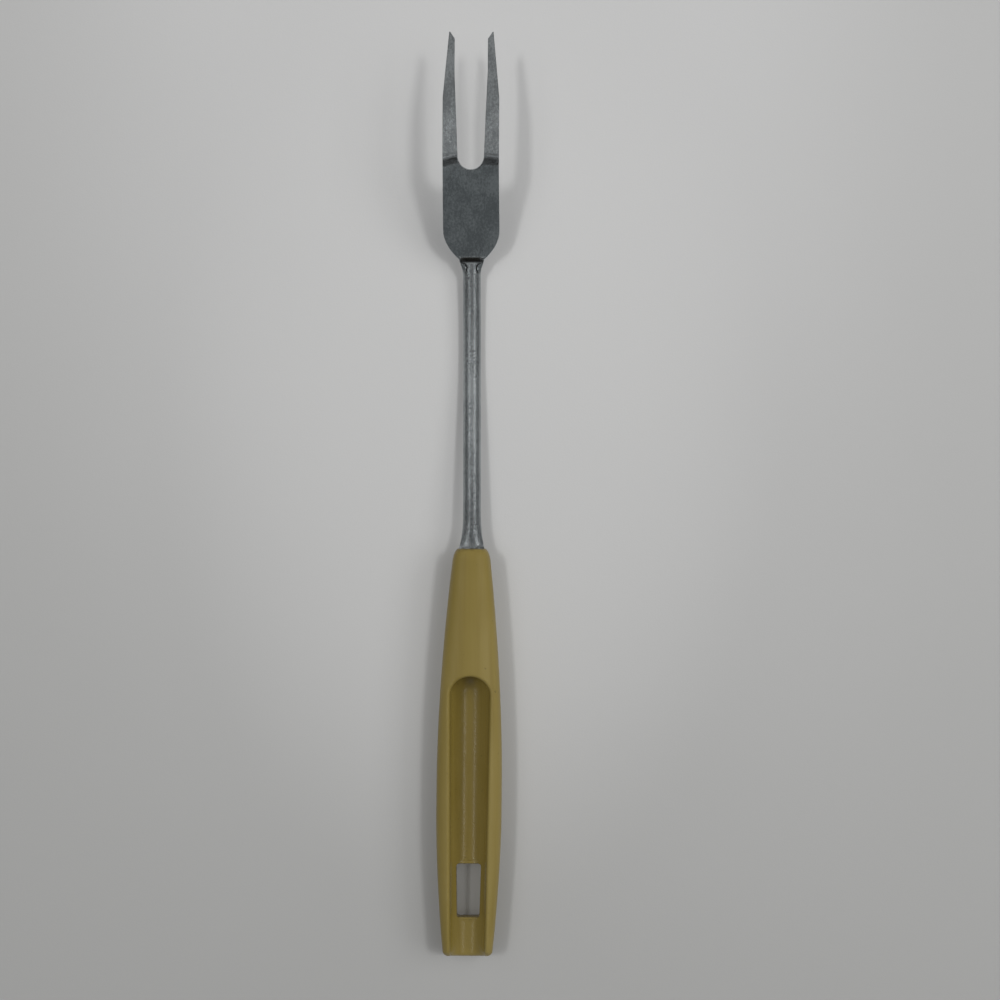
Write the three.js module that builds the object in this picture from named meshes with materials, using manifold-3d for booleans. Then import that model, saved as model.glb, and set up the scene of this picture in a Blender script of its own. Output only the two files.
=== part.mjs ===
// Meat fork: a sheet steel fork whose tang is held in a moulded plastic handle.
// Millimetres. +Y runs from the butt of the handle to the tine tips, +X is to the right and +Z is up.
// The fork lies face up, on the flat underside of the handle and on the neck of the steel.
// The origin is on that surface, midway between the butt and the tine tips.
import * as THREE from "three";
import { mergeVertices } from "three/addons/utils/BufferGeometryUtils.js";
import Module from "manifold-3d";

// Steel: the sheet, and lengths along it from the mouth of the handle to the tine tips
const SHEET_THICKNESS = 1.4;
const TANG_LENGTH = 36;
const TANG_WIDTH = 8.8;
const TANG_END_TAPER = 5;
const TANG_END_WIDTH = 5.6;
const TANG_HOLE_DIAMETER = 4;
const TANG_HOLE_FROM_END = 14;
const FLARE_LENGTH = 4.6;
const SHANK_LENGTH = 101.6;
const SHANK_ARCH_RADIUS = 3.6;
const SHANK_ARCH_DEGREES = 110;
const NECK_BEND_LENGTH = 4.2;
const NECK_WIDTH = 8.8;
const NECK_ARCH_FADE = 2.6;
const HEAD_LENGTH = 33.6;
const HEAD_WIDTH = 20.3;
const HEAD_ROUND_LENGTH = 11.6;
const ROOT_BEND_LENGTH = 4.6;
const TINE_LENGTH = 43.6;

// Steel: the slope of the sheet, in degrees above level, at each landmark
const SHANK_SLOPE = -4;
const HEAD_SLOPE_AT_NECK = 36;
const HEAD_SLOPE_AT_ROOT = 23;
const TINE_SLOPE_AT_ROOT = 2;
const TINE_SLOPE_AT_TIP = -8;

// Steel: the outline of the tines, seen from above
const CROTCH_RADIUS = 4.6;
const CROTCH_BELOW_ROOT = 1.6;
const GAP_AT_TIP = 11.6;
const GAP_TAPER_LENGTH = 30;
const SPAN_AT_ROOT = 19.8;
const SPAN_AT_TIP = 15.6;
const SPAN_TAPER_LENGTH = 24;
const TIP_BEVEL_LENGTH = 2.7;
const TIP_FLAT = 0.25;

// Handle: lengths from its mouth towards its butt
const HANDLE_LENGTH = 147.5;
const BELLY_FROM_MOUTH = 84;
const BELLY_LENGTH = 12;
const UNDERSIDE_RISE_LENGTH = 42;
const BELLY_WIDTH = 23.5;
const BUTT_WIDTH = 17.6;
const MOUTH_ROUNDING = 1.9;
const BUTT_ROUNDING = 2.1;
const MOUTH_CURVE = 1.8;
const BUTT_CURVE = 1.65;

// Handle: heights above the surface that the fork lies on
const BELLY_TOP = 14.6;
const BUTT_TOP = 13.6;
const WIDEST_LINE = 9.2;
const UNDERSIDE_CUT = 0.7;
const SECTION_SQUARENESS = 2.4;

// Handle: the groove in its upper face and the hanging slot in the floor of that groove
const GROOVE_WIDTH_AT_TOP = 14.2;
const GROOVE_WIDTH_AT_BUTT = 12.3;
const GROOVE_FLOOR = 3.8;
const SLOT_FROM_BUTT = 13.6;
const SLOT_LENGTH = 19.3;
const SLOT_WIDTH_AT_TOP = 8.9;
const SLOT_WIDTH_AT_BUTT = 8.2;
const SLOT_CORNER = 0.9;

// Handle: the clearance round the tang, and the plastic left beside, above and beyond the tang
const SOCKET_CLEARANCE = 0.3;
const MOUTH_SIDE_WALL = 1.65;
const MOUTH_LIP = 4;
const SOCKET_END_WALL = 9.1;

// How finely the curves are drawn, and how far a cut runs past what it cuts
const SHEET_POINTS = 9;
const CIRCLE_POINTS = 48;
const CORNER_POINTS = 6;
const FINE_STEP = 0.6;
const COARSE_STEP = 4;
const CUT_MARGIN = 5;
const SAME_PLACE = 1e-3;
const FLAT_ANGLE = 1e-4;

const STEEL = new THREE.MeshStandardMaterial({ color: 0xb4b5b6, roughness: 0.28, metalness: 1 });
const PLASTIC = new THREE.MeshStandardMaterial({ color: 0x85753f, roughness: 0.42, metalness: 0 });

const wasm = await Module();
wasm.setup();

// Booleans

/** A closed geometry as a solid that can be joined and cut. */
function solidOf(geometry) {
  const bare = geometry.clone();
  bare.deleteAttribute("normal");
  bare.deleteAttribute("uv");
  const merged = mergeVertices(bare, SAME_PLACE / 10);
  return new wasm.Manifold(
    new wasm.Mesh({
      numProp: 3,
      vertProperties: new Float32Array(merged.attributes.position.array),
      triVerts: new Uint32Array(merged.index.array),
    }),
  );
}

/** A solid as a geometry with normals. */
function geometryOf(solid) {
  const mesh = solid.getMesh();
  const geometry = new THREE.BufferGeometry();
  geometry.setAttribute("position", new THREE.BufferAttribute(mesh.vertProperties, 3));
  geometry.setIndex(new THREE.BufferAttribute(mesh.triVerts, 1));
  geometry.computeVertexNormals();
  return geometry;
}

// Lofts

/** A closed skin over rings of equal point counts, capped by the first and last ring.
 *  Each ring runs anticlockwise as seen from the last ring, looking back at the first. */
function loft(rings) {
  const count = rings[0].length;
  const positions = rings.flatMap((ring) => ring.flatMap((point) => point.toArray()));
  const triangles = [];
  for (let row = 0; row + 1 < rings.length; row++) {
    for (let i = 0; i < count; i++) {
      const a = row * count + i;
      const b = row * count + ((i + 1) % count);
      triangles.push(a, b, b + count, a, b + count, a + count);
    }
  }
  const last = (rings.length - 1) * count;
  for (const [a, b, c] of zigzag(count)) {
    triangles.push(c, b, a);
    triangles.push(last + a, last + b, last + c);
  }
  const geometry = new THREE.BufferGeometry();
  geometry.setAttribute("position", new THREE.Float32BufferAttribute(positions, 3));
  geometry.setIndex(triangles);
  return geometry;
}

/** Triangles that fill a ring, from side to side, starting at its first point. */
function zigzag(count) {
  const triangles = [];
  let left = 0;
  let right = count - 1;
  while (left + 1 < right) {
    triangles.push([left, left + 1, right]);
    left += 1;
    if (left + 1 < right) {
      triangles.push([left, right - 1, right]);
      right -= 1;
    }
  }
  return triangles;
}

/** Positions from start to end, no further apart than step. */
function steps(start, end, step) {
  const count = Math.max(1, Math.ceil((end - start) / step));
  return Array.from({ length: count + 1 }, (_, i) => start + ((end - start) * i) / count);
}

/** One list of positions from several, in order and with no repeats. */
function inOrder(...lists) {
  const sorted = lists.flat().sort((a, b) => a - b);
  return sorted.filter((value, i) => i === 0 || value - sorted[i - 1] > SAME_PLACE);
}

const { lerp, degToRad, clamp, smoothstep } = THREE.MathUtils;

// Steel: landmarks along the sheet, measured from the mouth of the handle

const neckEnd = SHANK_LENGTH + NECK_BEND_LENGTH;
const roundEnd = neckEnd + HEAD_ROUND_LENGTH;
const rootStart = neckEnd + HEAD_LENGTH;
const rootEnd = rootStart + ROOT_BEND_LENGTH;
const tipAlong = rootEnd + TINE_LENGTH;
const taperStart = tipAlong - SPAN_TAPER_LENGTH;
const neckStart = SHANK_LENGTH - NECK_ARCH_FADE;
const archHalfAngle = degToRad(SHANK_ARCH_DEGREES / 2);
const archMidRadius = SHANK_ARCH_RADIUS - SHEET_THICKNESS / 2;
const shankHalfStrip = archMidRadius * archHalfAngle;

/** The slope of the sheet in radians, which turns evenly between the landmarks. */
function slopeAt(along) {
  const turns = [
    [-TANG_LENGTH, SHANK_SLOPE],
    [SHANK_LENGTH, SHANK_SLOPE],
    [neckEnd, HEAD_SLOPE_AT_NECK],
    [rootStart, HEAD_SLOPE_AT_ROOT],
    [rootEnd, TINE_SLOPE_AT_ROOT],
    [tipAlong, TINE_SLOPE_AT_TIP],
  ];
  const after = turns.slice(1).findIndex(([place]) => along <= place);
  const [fromPlace, fromSlope] = turns[after];
  const [toPlace, toSlope] = turns[after + 1];
  return degToRad(lerp(fromSlope, toSlope, (along - fromPlace) / (toPlace - fromPlace)));
}

/** Half the angle that the sheet is arched through: none on the tang, the head and the tines. */
function archAt(along) {
  const opening = smoothstep(along, 0, FLARE_LENGTH);
  const closing = 1 - smoothstep(along, neckStart, neckEnd);
  return archHalfAngle * Math.min(opening, closing);
}

/** Half the width of the flat sheet before it is arched. */
function halfStripAt(along) {
  if (along < 0) {
    const share = clamp((-along - TANG_LENGTH + TANG_END_TAPER) / TANG_END_TAPER, 0, 1);
    return lerp(TANG_WIDTH, TANG_END_WIDTH, share) / 2;
  }
  if (along < neckStart) {
    return lerp(TANG_WIDTH / 2, shankHalfStrip, smoothstep(along, 0, FLARE_LENGTH));
  }
  if (along < neckEnd) {
    return lerp(shankHalfStrip, NECK_WIDTH / 2, smoothstep(along, neckStart, neckEnd));
  }
  if (along < roundEnd) {
    const beforeWidest = (roundEnd - along) / HEAD_ROUND_LENGTH;
    const cutOff = 1 - (NECK_WIDTH / HEAD_WIDTH) ** 2;
    return (HEAD_WIDTH / 2) * Math.sqrt(1 - cutOff * beforeWidest ** 2);
  }
  if (along < taperStart) {
    return lerp(HEAD_WIDTH, SPAN_AT_ROOT, clamp((along - roundEnd) / (rootStart - roundEnd), 0, 1)) / 2;
  }
  return lerp(SPAN_AT_ROOT, SPAN_AT_TIP, (along - taperStart) / SPAN_TAPER_LENGTH) / 2;
}

/** The middle of the sheet, as seen from the side, at each of the positions along it.
 *  The neck bend starts at the given height; x is along Y and y is up. */
function sheetPath(positions, neckHeight) {
  const slope = degToRad(SHANK_SLOPE);
  const beforeNeck = SHANK_LENGTH - positions[0];
  const point = new THREE.Vector2(
    positions[0] * Math.cos(slope),
    neckHeight - beforeNeck * Math.sin(slope),
  );
  return positions.map((along, i) => {
    if (i > 0) {
      const before = positions[i - 1];
      const midSlope = slopeAt((before + along) / 2);
      point.x += (along - before) * Math.cos(midSlope);
      point.y += (along - before) * Math.sin(midSlope);
    }
    return point.clone();
  });
}

/** The ring round the sheet at one position, grown by a clearance: its upper face from left to right,
 *  then its lower face from right to left. */
function sheetRing(centre, along, grow) {
  const arch = archAt(along);
  const half = halfStripAt(along) + grow;
  const slope = slopeAt(along);
  const halfThickness = SHEET_THICKNESS / 2 + grow;
  const shares = Array.from({ length: SHEET_POINTS }, (_, i) => (2 * i) / (SHEET_POINTS - 1) - 1);
  const face = (side) =>
    shares.map((share) => {
      const turn = arch * share;
      const arched = arch > FLAT_ANGLE;
      const x = arched ? (half / arch) * Math.sin(turn) : half * share;
      const rise = arched ? (half / arch) * (Math.cos(turn) - (1 + Math.cos(arch)) / 2) : 0;
      const up = rise + side * halfThickness * Math.cos(turn);
      return new THREE.Vector3(
        x + side * halfThickness * Math.sin(turn),
        centre.x - up * Math.sin(slope),
        centre.y + up * Math.cos(slope),
      );
    });
  return [...face(1), ...face(-1).reverse()];
}

const forkPositions = inOrder(
  [-TANG_LENGTH, TANG_END_TAPER - TANG_LENGTH],
  steps(0, FLARE_LENGTH, FINE_STEP),
  steps(neckStart, roundEnd, FINE_STEP),
  steps(roundEnd, rootStart, COARSE_STEP),
  steps(rootStart, rootEnd, FINE_STEP),
  steps(rootEnd, tipAlong, COARSE_STEP),
  [taperStart],
);

/** The height of the neck at which its lowest edge just meets the surface below. */
function restingNeckHeight() {
  const path = sheetPath(forkPositions, 0);
  const heights = forkPositions.flatMap((along, i) => sheetRing(path[i], along, 0).map((point) => point.z));
  return -Math.min(...heights);
}

const neckHeight = restingNeckHeight();
const forkPath = sheetPath(forkPositions, neckHeight);
const tip = forkPath[forkPath.length - 1];
const root = sheetPathEnd(rootStart);
const mouth = sheetPathEnd(0);

/** The middle of the sheet at one position along it. */
function sheetPathEnd(along) {
  const upTo = forkPositions.filter((position) => position < along);
  return sheetPath([...upTo, along], neckHeight).pop();
}

// Steel: cuts

/** The gap between the tines, with its round crotch and the slanted points, cut straight down. */
function tineGap() {
  const crotchCentre = root.x - CROTCH_BELOW_ROOT + CROTCH_RADIUS;
  const shoulder = tip.x - TIP_BEVEL_LENGTH;
  const shape = new THREE.Shape();
  shape.absarc(0, crotchCentre, CROTCH_RADIUS, Math.PI, 2 * Math.PI);
  shape.lineTo(GAP_AT_TIP / 2, crotchCentre + GAP_TAPER_LENGTH);
  shape.lineTo(GAP_AT_TIP / 2, shoulder);
  shape.lineTo(SPAN_AT_TIP / 2 - TIP_FLAT, tip.x);
  shape.lineTo(SPAN_AT_TIP / 2 - TIP_FLAT, tip.x + CUT_MARGIN);
  shape.lineTo(TIP_FLAT - SPAN_AT_TIP / 2, tip.x + CUT_MARGIN);
  shape.lineTo(TIP_FLAT - SPAN_AT_TIP / 2, tip.x);
  shape.lineTo(-GAP_AT_TIP / 2, shoulder);
  shape.lineTo(-GAP_AT_TIP / 2, crotchCentre + GAP_TAPER_LENGTH);
  const depth = Math.max(root.y, tip.y) * 2;
  return new THREE.ExtrudeGeometry(shape, { depth, bevelEnabled: false, curveSegments: CIRCLE_POINTS / 2 });
}

/** An upright round bar through the tang, where the plastic holds it. */
function tangBar(diameter) {
  const centre = sheetPathEnd(TANG_HOLE_FROM_END - TANG_LENGTH);
  const bar = new THREE.CylinderGeometry(diameter / 2, diameter / 2, 4 * CUT_MARGIN, CIRCLE_POINTS / 2);
  bar.rotateX(Math.PI / 2);
  bar.translate(0, centre.x, centre.y);
  return bar;
}

function forkSolid() {
  const rings = forkPositions.map((along, i) => sheetRing(forkPath[i], along, 0));
  return solidOf(loft(rings))
    .subtract(solidOf(tineGap()))
    .subtract(solidOf(tangBar(TANG_HOLE_DIAMETER)));
}

// Handle: derived sizes

const mouthWidth = TANG_WIDTH + 2 * (SOCKET_CLEARANCE + MOUTH_SIDE_WALL);
const mouthDepth = SHEET_THICKNESS + 2 * (SOCKET_CLEARANCE + MOUTH_LIP);
const bellyEnd = BELLY_FROM_MOUTH + BELLY_LENGTH;
const grooveStart = TANG_LENGTH + SOCKET_CLEARANCE + SOCKET_END_WALL;

/** Half the width of the handle before its ends are rounded. */
function handleHalfWidthAt(fromMouth) {
  if (fromMouth < BELLY_FROM_MOUTH) {
    const before = 1 - fromMouth / BELLY_FROM_MOUTH;
    return lerp(BELLY_WIDTH, mouthWidth, before ** MOUTH_CURVE) / 2;
  }
  const past = clamp((fromMouth - bellyEnd) / (HANDLE_LENGTH - bellyEnd), 0, 1);
  return lerp(BELLY_WIDTH, BUTT_WIDTH, past ** BUTT_CURVE) / 2;
}

/** How far the surface is drawn in by the rounding of the two ends. */
function endRoundingAt(fromMouth) {
  const quarterRound = (radius, distance) => {
    const share = clamp(1 - distance / radius, 0, 1);
    return radius * (1 - Math.sqrt(1 - share ** 2));
  };
  return quarterRound(MOUTH_ROUNDING, fromMouth) + quarterRound(BUTT_ROUNDING, HANDLE_LENGTH - fromMouth);
}

/** The heights of the underside, the widest line and the top, before the ends are rounded. */
function handleHeightsAt(fromMouth) {
  const front = clamp(1 - fromMouth / UNDERSIDE_RISE_LENGTH, 0, 1);
  const past = clamp((fromMouth - bellyEnd) / (HANDLE_LENGTH - bellyEnd), 0, 1);
  const rise = front ** MOUTH_CURVE;
  return {
    underside: lerp(-UNDERSIDE_CUT, mouth.y - mouthDepth / 2, rise),
    widest: lerp(WIDEST_LINE, mouth.y, rise),
    top: lerp(lerp(BELLY_TOP, mouth.y + mouthDepth / 2, rise), BUTT_TOP, past),
  };
}

/** The ring round the handle: a squared oval, cut flat where it meets the surface below. */
function handleRing(fromMouth) {
  const inset = endRoundingAt(fromMouth);
  const half = handleHalfWidthAt(fromMouth) - inset;
  const { underside, widest, top } = handleHeightsAt(fromMouth);
  const squared = (value) => Math.sign(value) * Math.abs(value) ** (2 / SECTION_SQUARENESS);
  return Array.from({ length: CIRCLE_POINTS }, (_, i) => {
    const angle = (2 * Math.PI * i) / CIRCLE_POINTS;
    const reach = Math.sin(angle) > 0 ? top - widest - inset : widest - underside - inset;
    const height = widest + reach * squared(Math.sin(angle));
    return new THREE.Vector3(half * squared(Math.cos(angle)), -fromMouth, Math.max(height, 0));
  });
}

/** The groove: a round-bottomed trough with a ball-shaped upper end, open at the butt and above. */
function grooveSolid() {
  const ballRadius = GROOVE_WIDTH_AT_TOP / 2;
  const ballCentre = grooveStart + ballRadius;
  const lid = 2 * BELLY_TOP;
  const trough = (fromMouth) => {
    const share = (fromMouth - ballCentre) / (HANDLE_LENGTH - ballCentre);
    const radius = lerp(GROOVE_WIDTH_AT_TOP, GROOVE_WIDTH_AT_BUTT, share) / 2;
    const floor = steps(-Math.PI, 0, (2 * Math.PI) / CIRCLE_POINTS).map(
      (angle) =>
        new THREE.Vector3(
          -radius * Math.cos(angle),
          -fromMouth,
          GROOVE_FLOOR + radius + radius * Math.sin(angle),
        ),
    );
    return [...floor, new THREE.Vector3(-radius, -fromMouth, lid), new THREE.Vector3(radius, -fromMouth, lid)];
  };
  const runs = [HANDLE_LENGTH + CUT_MARGIN, HANDLE_LENGTH, ballCentre].map(trough);
  const quarter = steps(-Math.PI / 2, 0, (2 * Math.PI) / CIRCLE_POINTS).map(
    (angle) => new THREE.Vector2(ballRadius * Math.cos(angle), ballRadius * (1 + Math.sin(angle))),
  );
  quarter[0].x = 0;
  const profile = [...quarter, new THREE.Vector2(ballRadius, lid), new THREE.Vector2(0, lid)];
  const ballEnd = new THREE.LatheGeometry(profile, CIRCLE_POINTS);
  ballEnd.rotateX(Math.PI / 2);
  ballEnd.translate(0, -ballCentre, GROOVE_FLOOR);
  return solidOf(loft(runs)).add(solidOf(ballEnd));
}

/** The hanging slot, which narrows a little towards the butt. */
function slotSolid() {
  const near = -HANDLE_LENGTH + SLOT_FROM_BUTT;
  const far = near + SLOT_LENGTH;
  const corners = [
    new THREE.Vector2(-SLOT_WIDTH_AT_BUTT / 2, near),
    new THREE.Vector2(SLOT_WIDTH_AT_BUTT / 2, near),
    new THREE.Vector2(SLOT_WIDTH_AT_TOP / 2, far),
    new THREE.Vector2(-SLOT_WIDTH_AT_TOP / 2, far),
  ];
  const shape = new THREE.Shape();
  corners.forEach((corner, i) => {
    const before = corners[(i + 3) % 4].clone().sub(corner).setLength(SLOT_CORNER).add(corner);
    const after = corners[(i + 1) % 4].clone().sub(corner).setLength(SLOT_CORNER).add(corner);
    if (i === 0) {
      shape.moveTo(before.x, before.y);
    } else {
      shape.lineTo(before.x, before.y);
    }
    shape.quadraticCurveTo(corner.x, corner.y, after.x, after.y);
  });
  const slot = new THREE.ExtrudeGeometry(shape, {
    depth: 2 * BELLY_TOP,
    bevelEnabled: false,
    curveSegments: CORNER_POINTS,
  });
  slot.translate(0, 0, -CUT_MARGIN);
  return solidOf(slot);
}

/** The socket that the tang fills, with the post that runs through the hole in the tang. */
function socketSolid() {
  const reach = [-TANG_LENGTH - SOCKET_CLEARANCE, TANG_END_TAPER - TANG_LENGTH, 0, CUT_MARGIN];
  const path = sheetPath(reach, neckHeight);
  const rings = reach.map((along, i) => sheetRing(path[i], clamp(along, -TANG_LENGTH, 0), SOCKET_CLEARANCE));
  const post = solidOf(tangBar(TANG_HOLE_DIAMETER - 2 * SOCKET_CLEARANCE));
  return solidOf(loft(rings)).subtract(post);
}

function handleSolid() {
  const positions = inOrder(
    steps(0, MOUTH_ROUNDING, FINE_STEP),
    steps(MOUTH_ROUNDING, BELLY_FROM_MOUTH, COARSE_STEP),
    steps(bellyEnd, HANDLE_LENGTH - BUTT_ROUNDING, COARSE_STEP),
    steps(HANDLE_LENGTH - BUTT_ROUNDING, HANDLE_LENGTH, FINE_STEP),
  );
  const rings = positions.reverse().map(handleRing);
  rings.forEach((ring) => ring.reverse());
  return solidOf(loft(rings))
    .subtract(grooveSolid())
    .subtract(slotSolid())
    .subtract(socketSolid());
}

// Assembly

function piece(name, solid, material) {
  const mesh = new THREE.Mesh(geometryOf(solid), material);
  mesh.name = name;
  return mesh;
}

const fork = new THREE.Group();
fork.add(piece("fork_stamping", forkSolid(), STEEL));
fork.add(piece("handle", handleSolid(), PLASTIC));
const middle = new THREE.Box3().setFromObject(fork).getCenter(new THREE.Vector3());
fork.children.forEach((mesh) => mesh.position.setY(-middle.y));

export default fork;
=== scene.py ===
"""A meat fork: a sheet steel fork whose tang is held in a moulded plastic handle.

Metres. +Y runs from the butt of the handle to the tine tips, +X is to the right and +Z is up.
The fork lies face up on the flat underside of the handle, with its bowed shank just off the floor.
"""

import logging
import math
from collections.abc import Callable, Sequence
from dataclasses import dataclass
from enum import Enum
from typing import Any

import bmesh
import bpy
import numpy as np
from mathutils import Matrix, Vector


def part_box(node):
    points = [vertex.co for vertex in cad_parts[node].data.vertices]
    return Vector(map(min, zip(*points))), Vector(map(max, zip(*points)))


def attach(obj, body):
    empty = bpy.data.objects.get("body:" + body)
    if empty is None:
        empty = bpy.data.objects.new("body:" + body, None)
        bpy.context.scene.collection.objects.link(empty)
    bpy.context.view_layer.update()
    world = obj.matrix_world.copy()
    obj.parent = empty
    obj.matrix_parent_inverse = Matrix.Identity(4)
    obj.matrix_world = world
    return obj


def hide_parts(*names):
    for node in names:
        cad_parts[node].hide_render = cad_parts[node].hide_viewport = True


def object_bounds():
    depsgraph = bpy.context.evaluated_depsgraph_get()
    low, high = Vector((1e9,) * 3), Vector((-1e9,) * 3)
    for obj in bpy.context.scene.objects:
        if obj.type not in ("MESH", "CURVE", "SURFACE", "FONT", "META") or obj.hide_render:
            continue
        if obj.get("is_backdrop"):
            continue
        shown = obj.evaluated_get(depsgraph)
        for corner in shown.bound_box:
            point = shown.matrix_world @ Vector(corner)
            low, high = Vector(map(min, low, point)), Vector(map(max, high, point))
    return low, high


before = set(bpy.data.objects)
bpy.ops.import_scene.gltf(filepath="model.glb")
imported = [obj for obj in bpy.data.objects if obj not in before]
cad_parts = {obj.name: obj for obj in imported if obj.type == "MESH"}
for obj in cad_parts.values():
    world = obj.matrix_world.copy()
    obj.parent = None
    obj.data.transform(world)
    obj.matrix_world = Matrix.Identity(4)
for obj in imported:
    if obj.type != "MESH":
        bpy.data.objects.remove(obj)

log = logging.getLogger("meat_fork")

MM = 0.001
SAME_PLACE = 1e-6
SAME_ROW = 1e-5
THINNEST_FACE = 1e-7
TINY = 1e-9
QUARTER_TURN = math.pi / 2

Pair = tuple[float, float]
Triple = tuple[float, float, float]
Colour = Triple


class Node(Enum):
    """The CAD solids that the pieces stand for."""

    STEEL = "fork_stamping"
    HANDLE = "handle"


class Slot(Enum):
    """The record's material slots."""

    STEEL = "steel"
    PLASTIC = "plastic"


def smooth_step(value: np.ndarray, start: float, end: float) -> np.ndarray:
    """Rise smoothly from 0 to 1 between two places.

    Args:
        value: The places to read.
        start: Where the rise begins.
        end: Where it ends.

    Returns:
        The share risen at each place.
    """
    share = np.clip((value - start) / (end - start), 0.0, 1.0)
    return share * share * (3.0 - 2.0 * share)


def blend(first: Any, second: Any, share: Any) -> Any:
    """Return the mix of two values, at the given share of the second."""
    return first + (second - first) * share


def quarter_round(radius: float, distance: np.ndarray) -> np.ndarray:
    """Give the draw-in of a rounded edge.

    Args:
        radius: The radius of the rounding.
        distance: How far each place is from the end of the piece.

    Returns:
        How far the surface is drawn in at each place.
    """
    share = np.clip(1.0 - distance / radius, 0.0, 1.0)
    return radius * (1.0 - np.sqrt(1.0 - share * share))


def spaced(start: float, end: float, step: float) -> np.ndarray:
    """Return even places from start to end, no further apart than step."""
    return np.linspace(start, end, max(2, math.ceil(abs(end - start) / step) + 1))


def in_order(*lists: np.ndarray) -> np.ndarray:
    """Join lists of places into one sorted list.

    Args:
        lists: The lists of places.

    Returns:
        The places in order, with no repeats.
    """
    places = np.sort(np.concatenate(lists))
    return places[np.concatenate(([True], np.diff(places) > SAME_ROW))]


class Value:
    """A shader value that can be used in Python arithmetic."""

    def __init__(self, tree: "NodeTree", socket: bpy.types.NodeSocket) -> None:
        """Wrap an output socket of a node tree."""
        self.tree = tree
        self.socket = socket

    def _math(self, operation: str, first: Any, second: Any) -> "Value":
        """Add a Math node and return its value."""
        node = self.tree.node("ShaderNodeMath", {"operation": operation}, {0: first, 1: second})
        return Value(self.tree, node.outputs[0])

    def __add__(self, other: Any) -> "Value":
        """Return self + other."""
        return self._math("ADD", self, other)

    __radd__ = __add__

    def __sub__(self, other: Any) -> "Value":
        """Return self - other."""
        return self._math("SUBTRACT", self, other)

    def __rsub__(self, other: Any) -> "Value":
        """Return other - self."""
        return self._math("SUBTRACT", other, self)

    def __mul__(self, other: Any) -> "Value":
        """Return self * other."""
        return self._math("MULTIPLY", self, other)

    __rmul__ = __mul__

    def __abs__(self) -> "Value":
        """Return the size of self without its sign."""
        return self._math("ABSOLUTE", self, 0.0)

    def rise(self, start: float, end: float) -> "Value":
        """Rise smoothly from 0 to 1 as this value goes from start to end.

        Args:
            start: The value at which the rise begins.
            end: The value at which it ends.

        Returns:
            The share risen.
        """
        node = self.tree.node(
            "ShaderNodeMapRange",
            {"interpolation_type": "SMOOTHSTEP", "clamp": True},
            {"Value": self, "From Min": start, "From Max": end},
        )
        return Value(self.tree, node.outputs["Result"])


@dataclass(frozen=True)
class Pattern:
    """A noise pattern: repeats in a metre along each axis, finer layers and their strength, turn about Z."""

    stretch: Triple
    detail: float
    rough: float = 0.5
    turn: float = 0.0


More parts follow.
